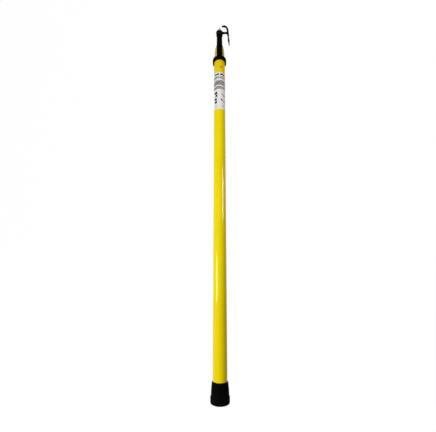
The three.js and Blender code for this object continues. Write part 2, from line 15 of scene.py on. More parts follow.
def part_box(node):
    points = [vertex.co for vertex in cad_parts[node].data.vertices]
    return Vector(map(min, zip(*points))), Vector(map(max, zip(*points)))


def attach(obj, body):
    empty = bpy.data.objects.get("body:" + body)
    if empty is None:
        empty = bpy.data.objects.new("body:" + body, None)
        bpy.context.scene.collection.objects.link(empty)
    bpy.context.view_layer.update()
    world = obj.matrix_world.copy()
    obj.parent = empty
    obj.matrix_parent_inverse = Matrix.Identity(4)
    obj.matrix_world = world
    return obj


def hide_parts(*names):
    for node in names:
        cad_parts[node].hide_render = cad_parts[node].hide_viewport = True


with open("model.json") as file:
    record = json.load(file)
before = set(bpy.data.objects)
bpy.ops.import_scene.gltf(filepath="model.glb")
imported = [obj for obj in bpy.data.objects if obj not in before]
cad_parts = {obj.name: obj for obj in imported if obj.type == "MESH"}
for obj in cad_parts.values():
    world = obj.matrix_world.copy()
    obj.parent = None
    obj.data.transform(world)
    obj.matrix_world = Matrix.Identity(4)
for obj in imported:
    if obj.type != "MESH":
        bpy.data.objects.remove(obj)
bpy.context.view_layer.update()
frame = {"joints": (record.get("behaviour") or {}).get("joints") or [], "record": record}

MM = 0.001
FRONT = -math.pi / 2  # direction of -Y, as an angle from +X
CAMERA_PLACE = (-0.007, -1.020, 0.372)
CAMERA_RISE = 15  # degrees that the camera looks up by
CAMERA_LENS = 22.05
ON_AXIS = 1e-6  # a point of an outline closer to the axis than this lies on it
FILLET_STEPS = 4


# ---- sizes read from the frame ----


def heights(node):
    """The lowest and highest z of a CAD node, in millimetres."""
    low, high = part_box(node)
    return low.z / MM, high.z / MM


def depths(node):
    """The lowest and highest y of a CAD node, in millimetres."""
    low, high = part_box(node)
    return low.y / MM, high.y / MM


def radius(node):
    """Half of a round CAD node's width, in millimetres."""
    low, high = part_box(node)
    return (high.y - low.y) / 2 / MM


joints = {joint["name"]: joint for joint in frame["joints"]}
PIVOT = joints["tool_pivot"]["pos_m"][2] / MM
BUTTON_AXIS = Vector(joints["button_travel"]["axis"])
BUTTON_ANGLE = math.atan2(BUTTON_AXIS.y, BUTTON_AXIS.x)
SLIDE_LENGTH = joints["section_slide"]["range_m"][1] / MM

BASE_RADIUS = radius("base_tube")
BASE_BORE = 22.4
HOLE_MARGIN = 9  # a tube has rings of points this far above and below each hole
TIP_RADIUS = radius("tip_tube")
TIP_BORE = 19
TIP_BOTTOM, TIP_TOP = heights("tip_tube")
BUTTON_HEIGHT = sum(heights("lock_button")) / 2
LOCK_HOLE_HEIGHT = BUTTON_HEIGHT + SLIDE_LENGTH
LOCK_HOLE_RADIUS = 6
TOOL_FRONT, TOOL_BACK = depths("disconnect_tool")
TOOL_CENTRE = (TOOL_BACK + TOOL_FRONT) / 2
PIVOT_BORE = 4.3
TOOTH_HEIGHT = 0.8
TOOTH_START = 8.6  # the inner radius of the toothed rings
BAR_LEAN = math.radians(4.2)
BAR_OFFSET = 40.9  # from the stick's axis to the bar's, at the pivot's height
BAR_FOOT = -23.5  # the end of the cast bar, along it from the pivot's height
BAR_RADIUS = 4.4
PIN_TOP = -11.8


# ---- mesh helpers ----


def link(name, data):
    """A new object in the scene that holds a mesh, a light or a camera."""
    piece = bpy.data.objects.new(name, data)
    bpy.context.scene.collection.objects.link(piece)
    return piece


def object_from(name, points, faces):
    """An object from points in millimetres, with its faces turned outwards."""
    mesh = bpy.data.meshes.new(name)
    mesh.from_pydata([Vector(point) * MM for point in points], [], faces)
    turn_outwards(mesh)
    return link(name, mesh)


def turn_outwards(mesh):
    shell = bmesh.new()
    shell.from_mesh(mesh)
    bmesh.ops.recalc_face_normals(shell, faces=shell.faces)
    shell.to_mesh(mesh)
    shell.free()
    mesh.update()


def shade(piece, sharp_angle=35):
    piece.data.shade_smooth()
    piece.data.set_sharp_from_angle(angle=math.radians(sharp_angle))


def place(piece, matrix):
    """Moves a piece's mesh, so that its object stays at the origin."""
    piece.data.transform(matrix)
    piece.data.update()
    return piece


def apply_modifiers(piece):
    graph = bpy.context.evaluated_depsgraph_get()
    mesh = bpy.data.meshes.new_from_object(piece.evaluated_get(graph))
    piece.modifiers.clear()
    piece.data = mesh


def combine(piece, operation, other):
    """Cuts the piece with the other one, or keeps what both share, and removes the other one."""
    step = piece.modifiers.new("combine", "BOOLEAN")
    step.operation = operation
    step.solver = "EXACT"
    step.object = other
    apply_modifiers(piece)
    bpy.data.objects.remove(other)


def cut(piece, *cutters):
    for cutter in cutters:
        combine(piece, "DIFFERENCE", cutter)


def keep_within(piece, limit):
    combine(piece, "INTERSECT", limit)


def merge(name, parts):
    """One object that holds several closed meshes, which may run through each other."""
    shell = bmesh.new()
    for part in parts:
        shell.from_mesh(part.data)
        bpy.data.objects.remove(part)
    mesh = bpy.data.meshes.new(name)
    shell.to_mesh(mesh)
    shell.free()
    return link(name, mesh)


def cast(name, parts, grain, rounding):
    """Melts overlapping parts into one skin with soft inner and outer corners, as a casting has.

    grain is the skin's cell size in millimetres, and rounding is how many times it is smoothed.
    """
    piece = merge(name, parts)
    skin = piece.modifiers.new("skin", "REMESH")
    skin.mode = "VOXEL"
    skin.voxel_size = grain * MM
    soften = piece.modifiers.new("soften", "SMOOTH")
    soften.factor = 0.5
    soften.iterations = rounding
    apply_modifiers(piece)
    piece.data.shade_smooth()
    return piece


def soften_edges(piece, width, segments=3):
    bevel = piece.modifiers.new("bevel", "BEVEL")
    bevel.width = width * MM
    bevel.segments = segments
    bevel.limit_method = "ANGLE"
    bevel.angle_limit = math.radians(35)
    apply_modifiers(piece)


def rounded(corners):
    """An outline's points: each corner is (radius, height) or (radius, height, fillet)."""
    points = []
    count = len(corners)
    for index, corner in enumerate(corners):
        here = Vector(corner[:2])
        fillet = corner[2] if len(corner) > 2 else 0
        if not fillet:
            points.append(here)
            continue
        before = Vector(corners[index - 1][:2])
        after = Vector(corners[(index + 1) % count][:2])
        start = here + (before - here).normalized() * fillet
        end = here + (after - here).normalized() * fillet
        for step in range(FILLET_STEPS + 1):
            t = step / FILLET_STEPS
            points.append(start * (1 - t) ** 2 + here * 2 * t * (1 - t) + end * t * t)
    return points


def lathe(name, corners, steps=128, shape=None):
    """Turns an outline about +Z. It closes on itself unless it starts and ends on the axis.

    shape, if given, takes (radius, angle, height) and returns the radius to use there.
    """
    outline = rounded(corners)
    on_axis = outline[0].x < ON_AXIS
    points, faces, columns = [], [], []
    for step in range(steps):
        angle = 2 * math.pi * step / steps
        column = []
        for index, (r, z) in enumerate(outline):
            if r < ON_AXIS and step:
                column.append(columns[0][index])
                continue
            reach = shape(r, angle, z) if shape else r
            column.append(len(points))
            points.append((reach * math.cos(angle), reach * math.sin(angle), z))
        columns.append(column)
    rows = len(outline) - 1 if on_axis else len(outline)
    for step in range(steps):
        here, there = columns[step], columns[(step + 1) % steps]
        for row in range(rows):
            after = (row + 1) % len(outline)
            loop = list(dict.fromkeys([here[row], there[row], there[after], here[after]]))
            if len(loop) > 2:
                faces.append(loop)
    piece = object_from(name, points, faces)
    shade(piece)
    return piece


def ring(outer, inner, bottom, top, fillet):
    return [(outer, bottom, fillet), (outer, top, fillet), (inner, top, fillet), (inner, bottom, fillet)]


def disc(outer, bottom, top, fillet):
    return [(0, bottom), (outer, bottom, fillet), (outer, top, fillet), (0, top)]


def cylinder(name, outer, bottom, top, steps=48):
    return lathe(name, disc(outer, bottom, top, 0), steps)


def slab(name, low, high):
    """A block between two corners, for cutting and for melting into a casting."""
    shell = bmesh.new()
    bmesh.ops.create_cube(shell, size=1)
    size = [b - a for a, b in zip(low, high)]
    centre = [(a + b) / 2 for a, b in zip(low, high)]
    bmesh.ops.scale(shell, vec=Vector(size) * MM, verts=shell.verts)
    bmesh.ops.translate(shell, vec=Vector(centre) * MM, verts=shell.verts)
    mesh = bpy.data.meshes.new(name)
    shell.to_mesh(mesh)
    shell.free()
    return link(name, mesh)


def sweep(name, path, radii, steps=24):
    """A round bar along a path in millimetres, with a radius at each point and flat ends."""
    centres = [Vector(point) for point in path]
    points, faces, rings = [], [], []
    for index, (centre, size) in enumerate(zip(centres, radii)):
        ahead = centres[min(index + 1, len(centres) - 1)]
        behind = centres[max(index - 1, 0)]
        along = (ahead - behind).normalized()
        side = along.orthogonal() if abs(along.y) > 0.9 else along.cross((0, 1, 0))
        side.normalize()
        up = along.cross(side)
        rings.append(range(len(points), len(points) + steps))
        for step in range(steps):
            angle = 2 * math.pi * step / steps
            points.append(centre + (side * math.cos(angle) + up * math.sin(angle)) * size)
    for here, there in zip(rings, rings[1:]):
        for step in range(steps):
            after = (step + 1) % steps
            faces.append([here[step], here[after], there[after], there[step]])
    faces.append(list(reversed(rings[0])))
    faces.append(list(rings[-1]))
    return object_from(name, points, faces)


def ball(name, centre, size, steps=24):
    rows = steps // 2
    turns = [math.pi * row / rows for row in range(rows + 1)]
    arc = [(math.sin(turn) * size, -math.cos(turn) * size) for turn in turns]
    arc[0], arc[-1] = (0, -size), (0, size)
    return place(lathe(name, arc, steps), Matrix.Translation(Vector(centre) * MM))


def plate(name, outline, thickness):
    """A flat outline in X and Z, thickened to both sides along Y."""
    count = len(outline)
    near, far = -thickness / 2, thickness / 2
    points = [(x, near, z) for x, z in outline] + [(x, far, z) for x, z in outline]
    faces = [list(range(count)), list(range(2 * count - 1, count - 1, -1))]
    for index in range(count):
        after = (index + 1) % count
        faces.append([index, after, after + count, index + count])
    return object_from(name, points, faces)


ALONG_Y = Matrix.Rotation(-math.pi / 2, 4, "X")  # turns a piece drawn along +Z to lie along +Y
AT_PIVOT = Matrix.Translation((0, 0, PIVOT * MM))
ARM_TALLER = AT_PIVOT @ Matrix.Diagonal((1, 1, 1.2, 1)) @ AT_PIVOT.inverted()
# gives a plate's thickness to X, its outline's height to Y and its outline's width to Z
SIDEWAYS = Matrix(((0, 1, 0, 0), (0, 0, 1, 0), (1, 0, 0, 0), (0, 0, 0, 1)))


def along_y(piece, height=PIVOT):
    return place(piece, Matrix.Translation((0, 0, height * MM)) @ ALONG_Y)


def outwards(piece, angle, height):
    """Turns a piece drawn along +Z to point away from the stick's axis."""
    lift = Matrix.Translation((0, 0, height * MM))
    return place(piece, lift @ Matrix.Rotation(angle, 4, "Z") @ Matrix.Rotation(math.pi / 2, 4, "Y"))


def on_bar(along):
    """A point on the axis of the tool's bar, along it from the pivot's height, in millimetres."""
    x = BAR_OFFSET - along * math.sin(BAR_LEAN)
    return Vector((x, TOOL_CENTRE, PIVOT + along * math.cos(BAR_LEAN)))


def place_on_bar(piece):
    start = on_bar(0) * MM
    return place(piece, Matrix.Translation(start) @ Matrix.Rotation(-BAR_LEAN, 4, "Y"))


# ---- procedural materials ----


COLOR_A, COLOR_B, COLOR_OUT = 6, 7, 2  # a Mix node's colour sockets


class Look:
    """A procedural material, built up one node at a time."""

    def __init__(self, name, **values):
        self.material = bpy.data.materials.new(name)
        self.material.use_nodes = True
        self.nodes = self.material.node_tree.nodes
        self.links = self.material.node_tree.links
        self.shader = self.nodes["Principled BSDF"]
        for socket, value in values.items():
            self.shader.inputs[socket.replace("_", " ")].default_value = value
        self.position = self.nodes.new("ShaderNodeTexCoord").outputs["Object"]

    def feed(self, socket, value):
        """Links another node's output to a socket, or sets the socket to a constant."""
        if isinstance(value, bpy.types.NodeSocket):
            self.links.new(value, socket)
        elif isinstance(value, tuple) and len(value) == 3 and socket.type == "RGBA":
            socket.default_value = (*value, 1)
        else:
            socket.default_value = value

    def node(self, kind, *values):
        """Adds a node and feeds its sockets in order."""
        node = self.nodes.new(f"ShaderNode{kind}")
        for socket, value in zip(node.inputs, values):
            self.feed(socket, value)
        return node

    def math(self, operation, first, second=0.0, third=0.0):
        node = self.node("Math", first, second, third)
        node.operation = operation
        return node.outputs[0]

    def times(self, first, second):
        return self.math("MULTIPLY", first, second)

    def stretched(self, scale):
        node = self.node("Mapping", self.position)
        node.inputs["Scale"].default_value = scale
        return node.outputs[0]

    def noise(self, scale, detail, stretch=None):
        node = self.node("TexNoise", self.stretched(stretch) if stretch else self.position)
        node.inputs["Scale"].default_value = scale
        node.inputs["Detail"].default_value = detail
        node.inputs["Roughness"].default_value = 0.55
        return node.outputs["Fac"]

    def cells(self, scale):
        """The distance to the nearest of many scattered points."""
        node = self.node("TexVoronoi", self.position)
        node.inputs["Scale"].default_value = scale
        return node.outputs["Distance"]

    def spread(self, value, low, high, out_low=0.0, out_high=1.0):
        """Maps low to high onto out_low to out_high, and holds the ends beyond them."""
        return self.node("MapRange", value, low, high, out_low, out_high).outputs[0]

    def patches(self, scale, detail, *limits):
        """Noise, spread by the limits that follow."""
        return self.spread(self.noise(scale, detail), *limits)

    def mix(self, factor, first, second):
        node = self.node("Mix", factor)
        node.data_type = "RGBA"
        self.feed(node.inputs[COLOR_A], first)
        self.feed(node.inputs[COLOR_B], second)
        return node.outputs[COLOR_OUT]

    def axes(self):
        """The x, y and z of the point, in metres."""
        return self.node("SeparateXYZ", self.position).outputs

    def worn_edges(self, low, high):
        """0 on flat faces and in hollows, rising to 1 on outer edges."""
        return self.spread(self.node("NewGeometry").outputs["Pointiness"], low, high)

    def color(self, value):
        self.feed(self.shader.inputs["Base Color"], value)

    def roughness(self, value):
        self.feed(self.shader.inputs["Roughness"], value)

    def bump(self, height, depth, strength):
        """Adds relief: height runs from 0 to 1 and depth is in millimetres."""
        node = self.node("Bump", strength, depth * MM)
        self.feed(node.inputs["Height"], height)
        self.feed(self.shader.inputs["Normal"], node.outputs[0])


def yellow_tube_look():
    """Glossy pultruded glass fibre: fibres run up the tube under a clear gel coat."""
    look = Look("yellow glass fibre", Coat_Weight=0.6, Coat_Roughness=0.07, Specular_IOR_Level=0.06)
    fibres = look.noise(900, 4, stretch=(1, 1, 0.012))
    cloud = look.noise(14, 3, stretch=(1, 1, 0.35))
    tint = look.spread(cloud, 0.35, 0.7)
    base = look.mix(tint, (0.80, 0.635, 0.001), (0.85, 0.69, 0.002))
    base = look.mix(look.spread(fibres, 0.55, 0.85, 0, 0.25), base, (0.66, 0.47, 0.002))
    # the tube's colour turns more orange over its last few centimetres below the collar
    near_collar = look.spread(look.axes()["Z"], 1.29, 1.36, 0, 0.75)
    base = look.mix(near_collar, base, (0.80, 0.52, 0.002))
    specks = look.spread(look.cells(260), 0.05, 0.02, 0, 0.35)
    base = look.mix(look.times(specks, look.spread(cloud, 0.5, 0.6)), base, (0.32, 0.22, 0.02))
    look.color(base)
    scuffs = look.noise(420, 5, stretch=(0.6, 0.6, 0.08))
    look.roughness(look.spread(scuffs, 0.45, 0.75, 0.25, 0.5))
    look.bump(look.math("ADD", fibres, look.times(cloud, 0.6)), 0.05, 0.5)
    return look.material


def pale_yellow_look():
    look = Look("pale moulded nylon", Subsurface_Weight=0.08, Subsurface_Scale=0.002)
    look.shader.inputs["Subsurface Radius"].default_value = (1.0, 0.7, 0.2)
    cloud = look.noise(60, 4)
    base = look.mix(look.spread(cloud, 0.35, 0.65), (0.50, 0.42, 0.10), (0.60, 0.52, 0.16))
    grime = look.patches(210, 5, 0.56, 0.72, 0, 0.35)
    look.color(look.mix(grime, base, (0.24, 0.2, 0.08)))
    look.roughness(look.patches(300, 3, 0.3, 0.7, 0.34, 0.55))
    look.bump(look.noise(1400, 3), 0.06, 0.5)
    return look.material


def rubber_look():
    """Moulded rubber, dusty where it meets the ground."""
    look = Look("moulded rubber", Specular_IOR_Level=0.04)
    grain = look.noise(1500, 4)
    height = look.axes()["Z"]
    near_floor = look.spread(height, 0.0, 0.03, 1.0, 0.0)
    dust = look.times(look.patches(120, 6, 0.48, 0.7), near_floor)
    base = look.mix(look.spread(grain, 0.3, 0.7), (0.001, 0.001, 0.001), (0.0035, 0.003, 0.003))
    look.color(look.mix(look.times(dust, 0.06), base, (0.16, 0.13, 0.10)))
    look.roughness(look.patches(90, 4, 0.3, 0.7, 0.55, 0.75))
    look.bump(grain, 0.12, 0.6)
    return look.material


def black_plastic_look():
    look = Look("black moulded plastic", Specular_IOR_Level=0.04)
    spark = look.cells(1300)
    cloud = look.patches(80, 3, 0.35, 0.65)
    base = look.mix(cloud, (0.0015, 0.001, 0.001), (0.005, 0.0045, 0.004))
    look.color(look.mix(look.worn_edges(0.53, 0.62), base, (0.022, 0.02, 0.018)))
    look.roughness(look.patches(240, 4, 0.3, 0.7, 0.42, 0.62))
    look.bump(spark, 0.08, 0.5)
    return look.material


def black_metal_look():
    """Black coated casting, rubbed through to grey metal on its edges."""
    look = Look("black coated casting", Specular_IOR_Level=0.03)
    grain = look.noise(900, 5)
    chips = look.times(look.worn_edges(0.52, 0.58), look.patches(260, 5, 0.42, 0.6))
    cloud = look.patches(120, 4, 0.3, 0.7)
    base = look.mix(cloud, (0.001, 0.001, 0.001), (0.004, 0.0038, 0.0035))
    look.color(look.mix(look.times(chips, 0.3), base, (0.10, 0.097, 0.093)))
    look.roughness(look.patches(340, 4, 0.3, 0.7, 0.36, 0.56))
    look.bump(grain, 0.1, 0.5)
    return look.material


def plated_steel_look(name, dark, light):
    """Dull plating that varies between two greys, with darker tarnish in patches."""
    look = Look(name, Metallic=0.3)
    cloud = look.noise(320, 4)
    base = look.mix(look.spread(cloud, 0.3, 0.7), dark, light)
    tarnish = look.patches(900, 5, 0.58, 0.75, 0, 0.5)
    look.color(look.mix(tarnish, base, tuple(0.35 * share for share in dark)))
    look.roughness(look.patches(700, 3, 0.3, 0.7, 0.28, 0.5))
    look.bump(look.noise(2400, 3), 0.03, 0.5)
    return look.material


def brass_look():
    look = Look("turned brass", Metallic=1.0)
    rings = look.noise(2600, 3, stretch=(1, 1, 0.2))
    base = look.mix(look.patches(300, 4, 0.3, 0.7), (0.55, 0.38, 0.12), (0.68, 0.5, 0.18))
    look.color(look.mix(look.spread(rings, 0.6, 0.75, 0, 0.4), base, (0.3, 0.19, 0.06)))
    look.roughness(look.spread(rings, 0.3, 0.7, 0.25, 0.42))
    look.bump(rings, 0.02, 0.5)
    return look.material


def felt_look():
    look = Look("pressed felt", Sheen_Weight=0.4, Sheen_Roughness=0.6)
    fibre = look.noise(2600, 6, stretch=(1, 1, 0.5))
    look.color(look.mix(look.spread(fibre, 0.35, 0.65), (0.05, 0.048, 0.045), (0.12, 0.115, 0.105)))
    look.roughness(look.spread(fibre, 0.3, 0.7, 0.85, 1.0))
    look.bump(fibre, 0.3, 0.8)
    return look.material


def nylon_look():
    look = Look("natural nylon", Subsurface_Weight=0.1, Subsurface_Scale=0.002)
    cloud = look.noise(150, 4)
    look.color(look.mix(look.spread(cloud, 0.35, 0.65), (0.62, 0.58, 0.48), (0.72, 0.69, 0.6)))
    look.roughness(look.patches(500, 3, 0.3, 0.7, 0.35, 0.5))
    look.bump(look.noise(1800, 3), 0.04, 0.5)
    return look.material


# The label's print: plain blocks and broken lines, which spell nothing. Each block is (across,
# up, width, height, turn): millimetres round the tube from the front and up from the label's
# foot, and degrees.
HEADLINE_BLOCKS = [(-14, 181, 24, 7.5, 0), (15, 181, 25, 7.5, 0)]
SIDE_MARK_BLOCKS = [(-18, 83, 15, 12, 0), (-15, 68, 10, 12, 0), (-19, 51, 12, 11, 0), (-18, 36, 12, 12, 0)]
SIGN_BLOCKS = [(17.5, 74, 20, 3, -22), (22, 70, 7, 6, 0), (8.7, 47, 6, 7, 0), (18, 42, 21, 2.8, -20)]
BACK_BLOCKS = [(52, 150, 16, 26, 0), (-56, 150, 14, 22, 0), (58, 60, 10, 40, 0), (-60, 70, 10, 30, 0)]
LAVENDER_BLOCKS = [(-17, 15, 17, 16, 0), (19, 15, 15, 13, 0)]
TEXT_BANDS = [(164, 13, 0.5), (136, 26, 0.66), (110, 15, 0.6)]  # (up, height, darkness)


def label_look():
    """Printed film. Its print is laid out by the angle round the tube and the height."""
    look = Look("printed label film", Coat_Weight=0.25, Coat_Roughness=0.25, Specular_IOR_Level=0.4)
    x, y, z = look.axes()
    angle = look.math("ARCTAN2", x, look.times(y, -1))
    across = look.times(angle, BASE_RADIUS)
    foot = heights("label_sleeve")[0]
    up = look.math("SUBTRACT", look.math("DIVIDE", z, MM), foot)

    def block(centre_across, centre_up, width, height, turn):
        right = look.math("SUBTRACT", across, centre_across)
        above = look.math("SUBTRACT", up, centre_up)
        cosine, sine = math.cos(math.radians(turn)), math.sin(math.radians(turn))
        along = look.math("ADD", look.times(right, cosine), look.times(above, sine))
        off = look.math("SUBTRACT", look.times(above, cosine), look.times(right, sine))
        inside = look.math("COMPARE", along, 0.0, width / 2)
        return look.times(inside, look.math("COMPARE", off, 0.0, height / 2))

    ink = 0
    for shape in HEADLINE_BLOCKS + SIDE_MARK_BLOCKS + SIGN_BLOCKS + BACK_BLOCKS:
        ink = look.math("MAXIMUM", ink, block(*shape))

    line_pitch, line_half_height = 2.9, 0.85
    lines = look.math("COMPARE", look.math("MODULO", up, line_pitch), line_pitch / 2, line_half_height)
    words = look.math("GREATER_THAN", look.noise(260, 2, stretch=(1, 1, 0.4)), 0.44)
    text = look.times(lines, words)
    fade = look.spread(across, -25, 25, 1.25, 0.8)
    for centre, height, darkness in TEXT_BANDS:
        band = look.math("COMPARE", up, centre, height / 2)
        wash = look.math("MAXIMUM", look.times(text, darkness + 0.25), darkness * 0.62)
        ink = look.math("MAXIMUM", ink, look.times(look.times(band, fade), wash))

    film = look.mix(look.patches(40, 4, 0.35, 0.65), (0.77, 0.75, 0.77), (0.85, 0.835, 0.84))
    wear = look.patches(500, 5, 0.62, 0.72, 1.0, 0.55)
    tinted = look.math("MAXIMUM", *[block(*shape) for shape in LAVENDER_BLOCKS])
    film = look.mix(look.times(tinted, 0.4), film, (0.50, 0.34, 0.70))
    printed = look.mix(look.times(ink, wear), film, (0.012, 0.011, 0.013))
    look.color(printed)
    look.roughness(look.patches(200, 4, 0.3, 0.7, 0.3, 0.5))
    look.bump(look.noise(90, 3), 0.08, 0.4)
    return look.material


LOOKS = {
    "yellow_tube": yellow_tube_look(),
    "pale_yellow": pale_yellow_look(),
    "boot_rubber": rubber_look(),
    "black_plastic": black_plastic_look(),
    "black_metal": black_metal_look(),
    "plated_steel": plated_steel_look("dull zinc plate", (0.58, 0.58, 0.59), (0.74, 0.74, 0.75)),
    "label_film": label_look(),
    "grey_felt": felt_look(),
    "natural_nylon": nylon_look(),
    "brass": brass_look(),
}
# the washers behind the wing nut, and the bolt's thread, where its black coating is rubbed off
GRIMY_STEEL = plated_steel_look("grimy zinc plate", (0.02, 0.019, 0.018), (0.06, 0.058, 0.055))
RUBBED_THREAD = plated_steel_look("rubbed thread", (0.4, 0.4, 0.41), (0.6, 0.6, 0.61))
SLOT_OF = {part["node"]: part["material_slot"] for part in frame["record"]["subparts"]}
BODY_OF = {
    node: body for body, nodes in frame["record"]["behaviour"]["bodies"].items() for node in nodes
}


def dress(piece, node, replaces=True, look=None):
    """Gives a piece its CAD node's finish and body, and lets it stand for that node.

    look, if given, is used in place of the usual one for the node's material slot.
    """
    slot = SLOT_OF[node]
    piece.data.materials.clear()
    piece.data.materials.append(look or LOOKS[slot])
    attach(piece, BODY_OF[node])
    if replaces:
        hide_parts(node)


# ---- base section ----


def make_boot():
    foot = radius("foot_boot")
    top = heights("foot_boot")[1]
    bore = BASE_RADIUS + 0.08
    groove_width, groove_depth = 2, 1.3
    tread = []
    for near in (7, 13, 19):
        far = near + groove_width
        tread += [(near, 0, 0.2), (near, groove_depth, 0.3), (far, groove_depth, 0.3), (far, 0, 0.2)]
    band_top = 22
    outside = [
        (foot, 0, 5.4),
        (foot, band_top - 1.2, 0.9),
        (foot - 1.7, band_top + 0.8, 0.7),
        (foot - 2.1, band_top + 4),
        (foot - 2.6, 40),
        (foot - 4.1, top - 11),
        (foot - 4.6, top - 9, 0.5),
        (foot - 4.2, top - 8, 0.5),
        (foot - 4.6, top - 5, 1.2),
        (foot - 6.8, top, 0.6),
    ]
    floor = 6
    relief = BASE_RADIUS + 2
    relief_low, relief_high = BUTTON_HEIGHT - 7, BUTTON_HEIGHT + 7
    inside = [
        (bore, top, 0.3),
        (bore, relief_high),
        (relief, relief_high),
        (relief, relief_low),
        (bore, relief_low),
        (bore, floor),
        (0, floor),
    ]
    dress(lathe("rubber_foot_boot", [(0, 0), *tread, *outside, *inside], 144), "foot_boot")


def make_tube(name, node, bore, fillet, holes, hole_radius, hole_steps):
    """A tube with holes at these heights through one side of its wall, for the lock button."""
    outer = radius(node)
    bottom, top = heights(node)
    rows = [hole + side * HOLE_MARGIN for hole in holes for side in (-1, 1)]
    corners = [
        (outer, bottom, fillet),
        *[(outer, z) for z in rows],
        (outer, top, fillet),
        (bore, top, fillet),
        *[(bore, z) for z in reversed(rows)],
        (bore, bottom, fillet),
    ]
    tube = lathe(name, corners, 160)
    for height in holes:
        cutter = cylinder("hole", hole_radius, bore - 2, outer + 2, hole_steps)
        cut(tube, outwards(cutter, BUTTON_ANGLE, height))
    shade(tube)
    dress(tube, node)


def make_base_tube():
    holes = (BUTTON_HEIGHT, LOCK_HOLE_HEIGHT)
    make_tube("glass_fibre_base_tube", "base_tube", BASE_BORE, 0.5, holes, LOCK_HOLE_RADIUS, 64)


def make_rubber_disc(name, node, fillet):
    dress(lathe(name, disc(radius(node), *heights(node), fillet), 96), node)


def make_plug_and_buffer():
    bottom, top = heights("base_plug")
    outer, bore = radius("base_plug"), 19.5
    floor = bottom + 4
    cup = [
        (0, bottom),
        (outer, bottom, 0.8),
        (outer, top, 0.5),
        (bore, top, 0.5),
        (bore, floor, 0.6),
        (0, floor),
    ]
    dress(lathe("tube_end_plug", cup, 96), "base_plug")
    make_rubber_disc("rubber_stop_buffer", "stop_buffer", 1.2)


def make_collar():
    """The collar, with grip flutes pressed into its outside, clear of its three screws."""
    bottom, top = heights("collar")
    outer = radius("collar")
    bore = BASE_RADIUS + 0.1
    lip_bore = TIP_RADIUS + 0.6
    middle = (bottom + top) / 2
    flute_depth, flute_half_width, flute_half_length = 0.75, 1.75, 5.6
    flutes = 15
    first_screw = math.pi / 2
    counterbore, counterbore_floor = 4.3, 28.9

    def fluted(r, angle, z):
        if r < outer - 1:
            return r
        turn = ((angle - first_screw) / (2 * math.pi) * flutes) % 1 - 0.5
        sideways = turn * 2 * math.pi / flutes * outer / flute_half_width
        along = max(0, abs(z - middle) - (flute_half_length - flute_half_width)) / flute_half_width
        dip = 1 - sideways**2 - along**2
        return r - flute_depth * math.sqrt(dip) if dip > 0 else r

    wall_rows, rim, lip_height = 30, 2.2, 3
    wall_height = top - bottom - 2 * rim
    wall = [(outer, bottom + rim + wall_height * i / wall_rows) for i in range(wall_rows + 1)]
    corners = [
        (bore, bottom, 0.5),
        (outer - 0.1, bottom, 1.1),
        *wall,
        (outer - 0.1, top, 1.1),
        (lip_bore, top, 0.6),
        (lip_bore, top - lip_height, 0.3),
        (bore, top - lip_height, 0.3),
    ]
    collar = lathe("grip_collar", corners, 384, fluted)
    for index in (1, 2, 3):
        low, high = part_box(f"collar_screw_{index}")
        centre = (low + high) / 2
        angle = math.atan2(centre.y, centre.x)
        hole = cylinder("hole", counterbore, counterbore_floor, outer + 2)
        cut(collar, outwards(hole, angle, centre.z / MM))
        make_collar_screw(index, angle, centre.z / MM)
    shade(collar)
    dress(collar, "collar")


def make_collar_screw(index, angle, height):
    head_seat, head_end, inner_end = 29.2, 31.0, 23.2
    shank, head, socket, socket_depth = 2, 4, 1.75, 1.1
    corners = [
        (0, inner_end),
        (shank, inner_end, 0.5),
        (shank, head_seat),
        (head, head_seat, 0.2),
        (head, head_end, 0.5),
        (0, head_end),
    ]
    screw = lathe("screw", corners, 64)
    cut(screw, cylinder("socket", socket, head_end - socket_depth, head_end + 1, 6))
    outwards(screw, angle, height)
    shade(screw)
    screw.name = f"socket_screw_{index}"
    dress(screw, f"collar_screw_{index}")


def make_collar_ring(name, node, fillet):
    """A ring inside the collar that the tip tube slides in."""
    bore = TIP_RADIUS + 0.32
    dress(lathe(name, ring(BASE_RADIUS, bore, *heights(node), fillet), 128), node)


def make_label():
    """A thin wrapped film whose two ends lift a little at the seam behind."""
    bottom, top = heights("label_sleeve")
    wrap = math.radians(320)
    columns, rows = 180, 24
    gap, thickness, corner = 0.05, 0.12, 5
    seam_lift, lifted_length = 0.22, 6
    sheet = []
    for face in (gap, gap + thickness):
        for row in range(rows + 1):
            for column in range(columns + 1):
                share = column / columns * 2 - 1
                to_end = (1 - abs(share)) * wrap / 2 * BASE_RADIUS
                inset = corner - math.sqrt(corner**2 - (corner - to_end) ** 2) if to_end < corner else 0
                length = (top - bottom) / 2 - inset
                z = (bottom + top) / 2 + (row / rows * 2 - 1) * length
                lift = seam_lift * max(0, 1 - to_end / lifted_length) ** 2
                angle = FRONT + share * wrap / 2
                reach = BASE_RADIUS + face + lift
                sheet.append((reach * math.cos(angle), reach * math.sin(angle), z))
    across, layer = columns + 1, (columns + 1) * (rows + 1)
    faces = []
    for row in range(rows):
        for column in range(columns):
            a = row * across + column
            faces.append([a, a + 1, a + 1 + across, a + across])
            faces.append([layer + a, layer + a + across, layer + a + 1 + across, layer + a + 1])
    edge = list(range(across))
    edge += [row * across + columns for row in range(1, rows + 1)]
    edge += [rows * across + column for column in range(columns - 1, -1, -1)]
    edge += [row * across for row in range(rows - 1, 0, -1)]
    for here, there in zip(edge, edge[1:] + edge[:1]):
        faces.append([here, there, there + layer, here + layer])
    label = object_from("wrap_label", sheet, faces)
    shade(label)
    dress(label, "label_sleeve")


# ---- inner section ----


def make_tip_tube():
    button_bore = 5.3
    make_tube("glass_fibre_tip_tube", "tip_tube", TIP_BORE, 0.4, (BUTTON_HEIGHT,), button_bore, 48)


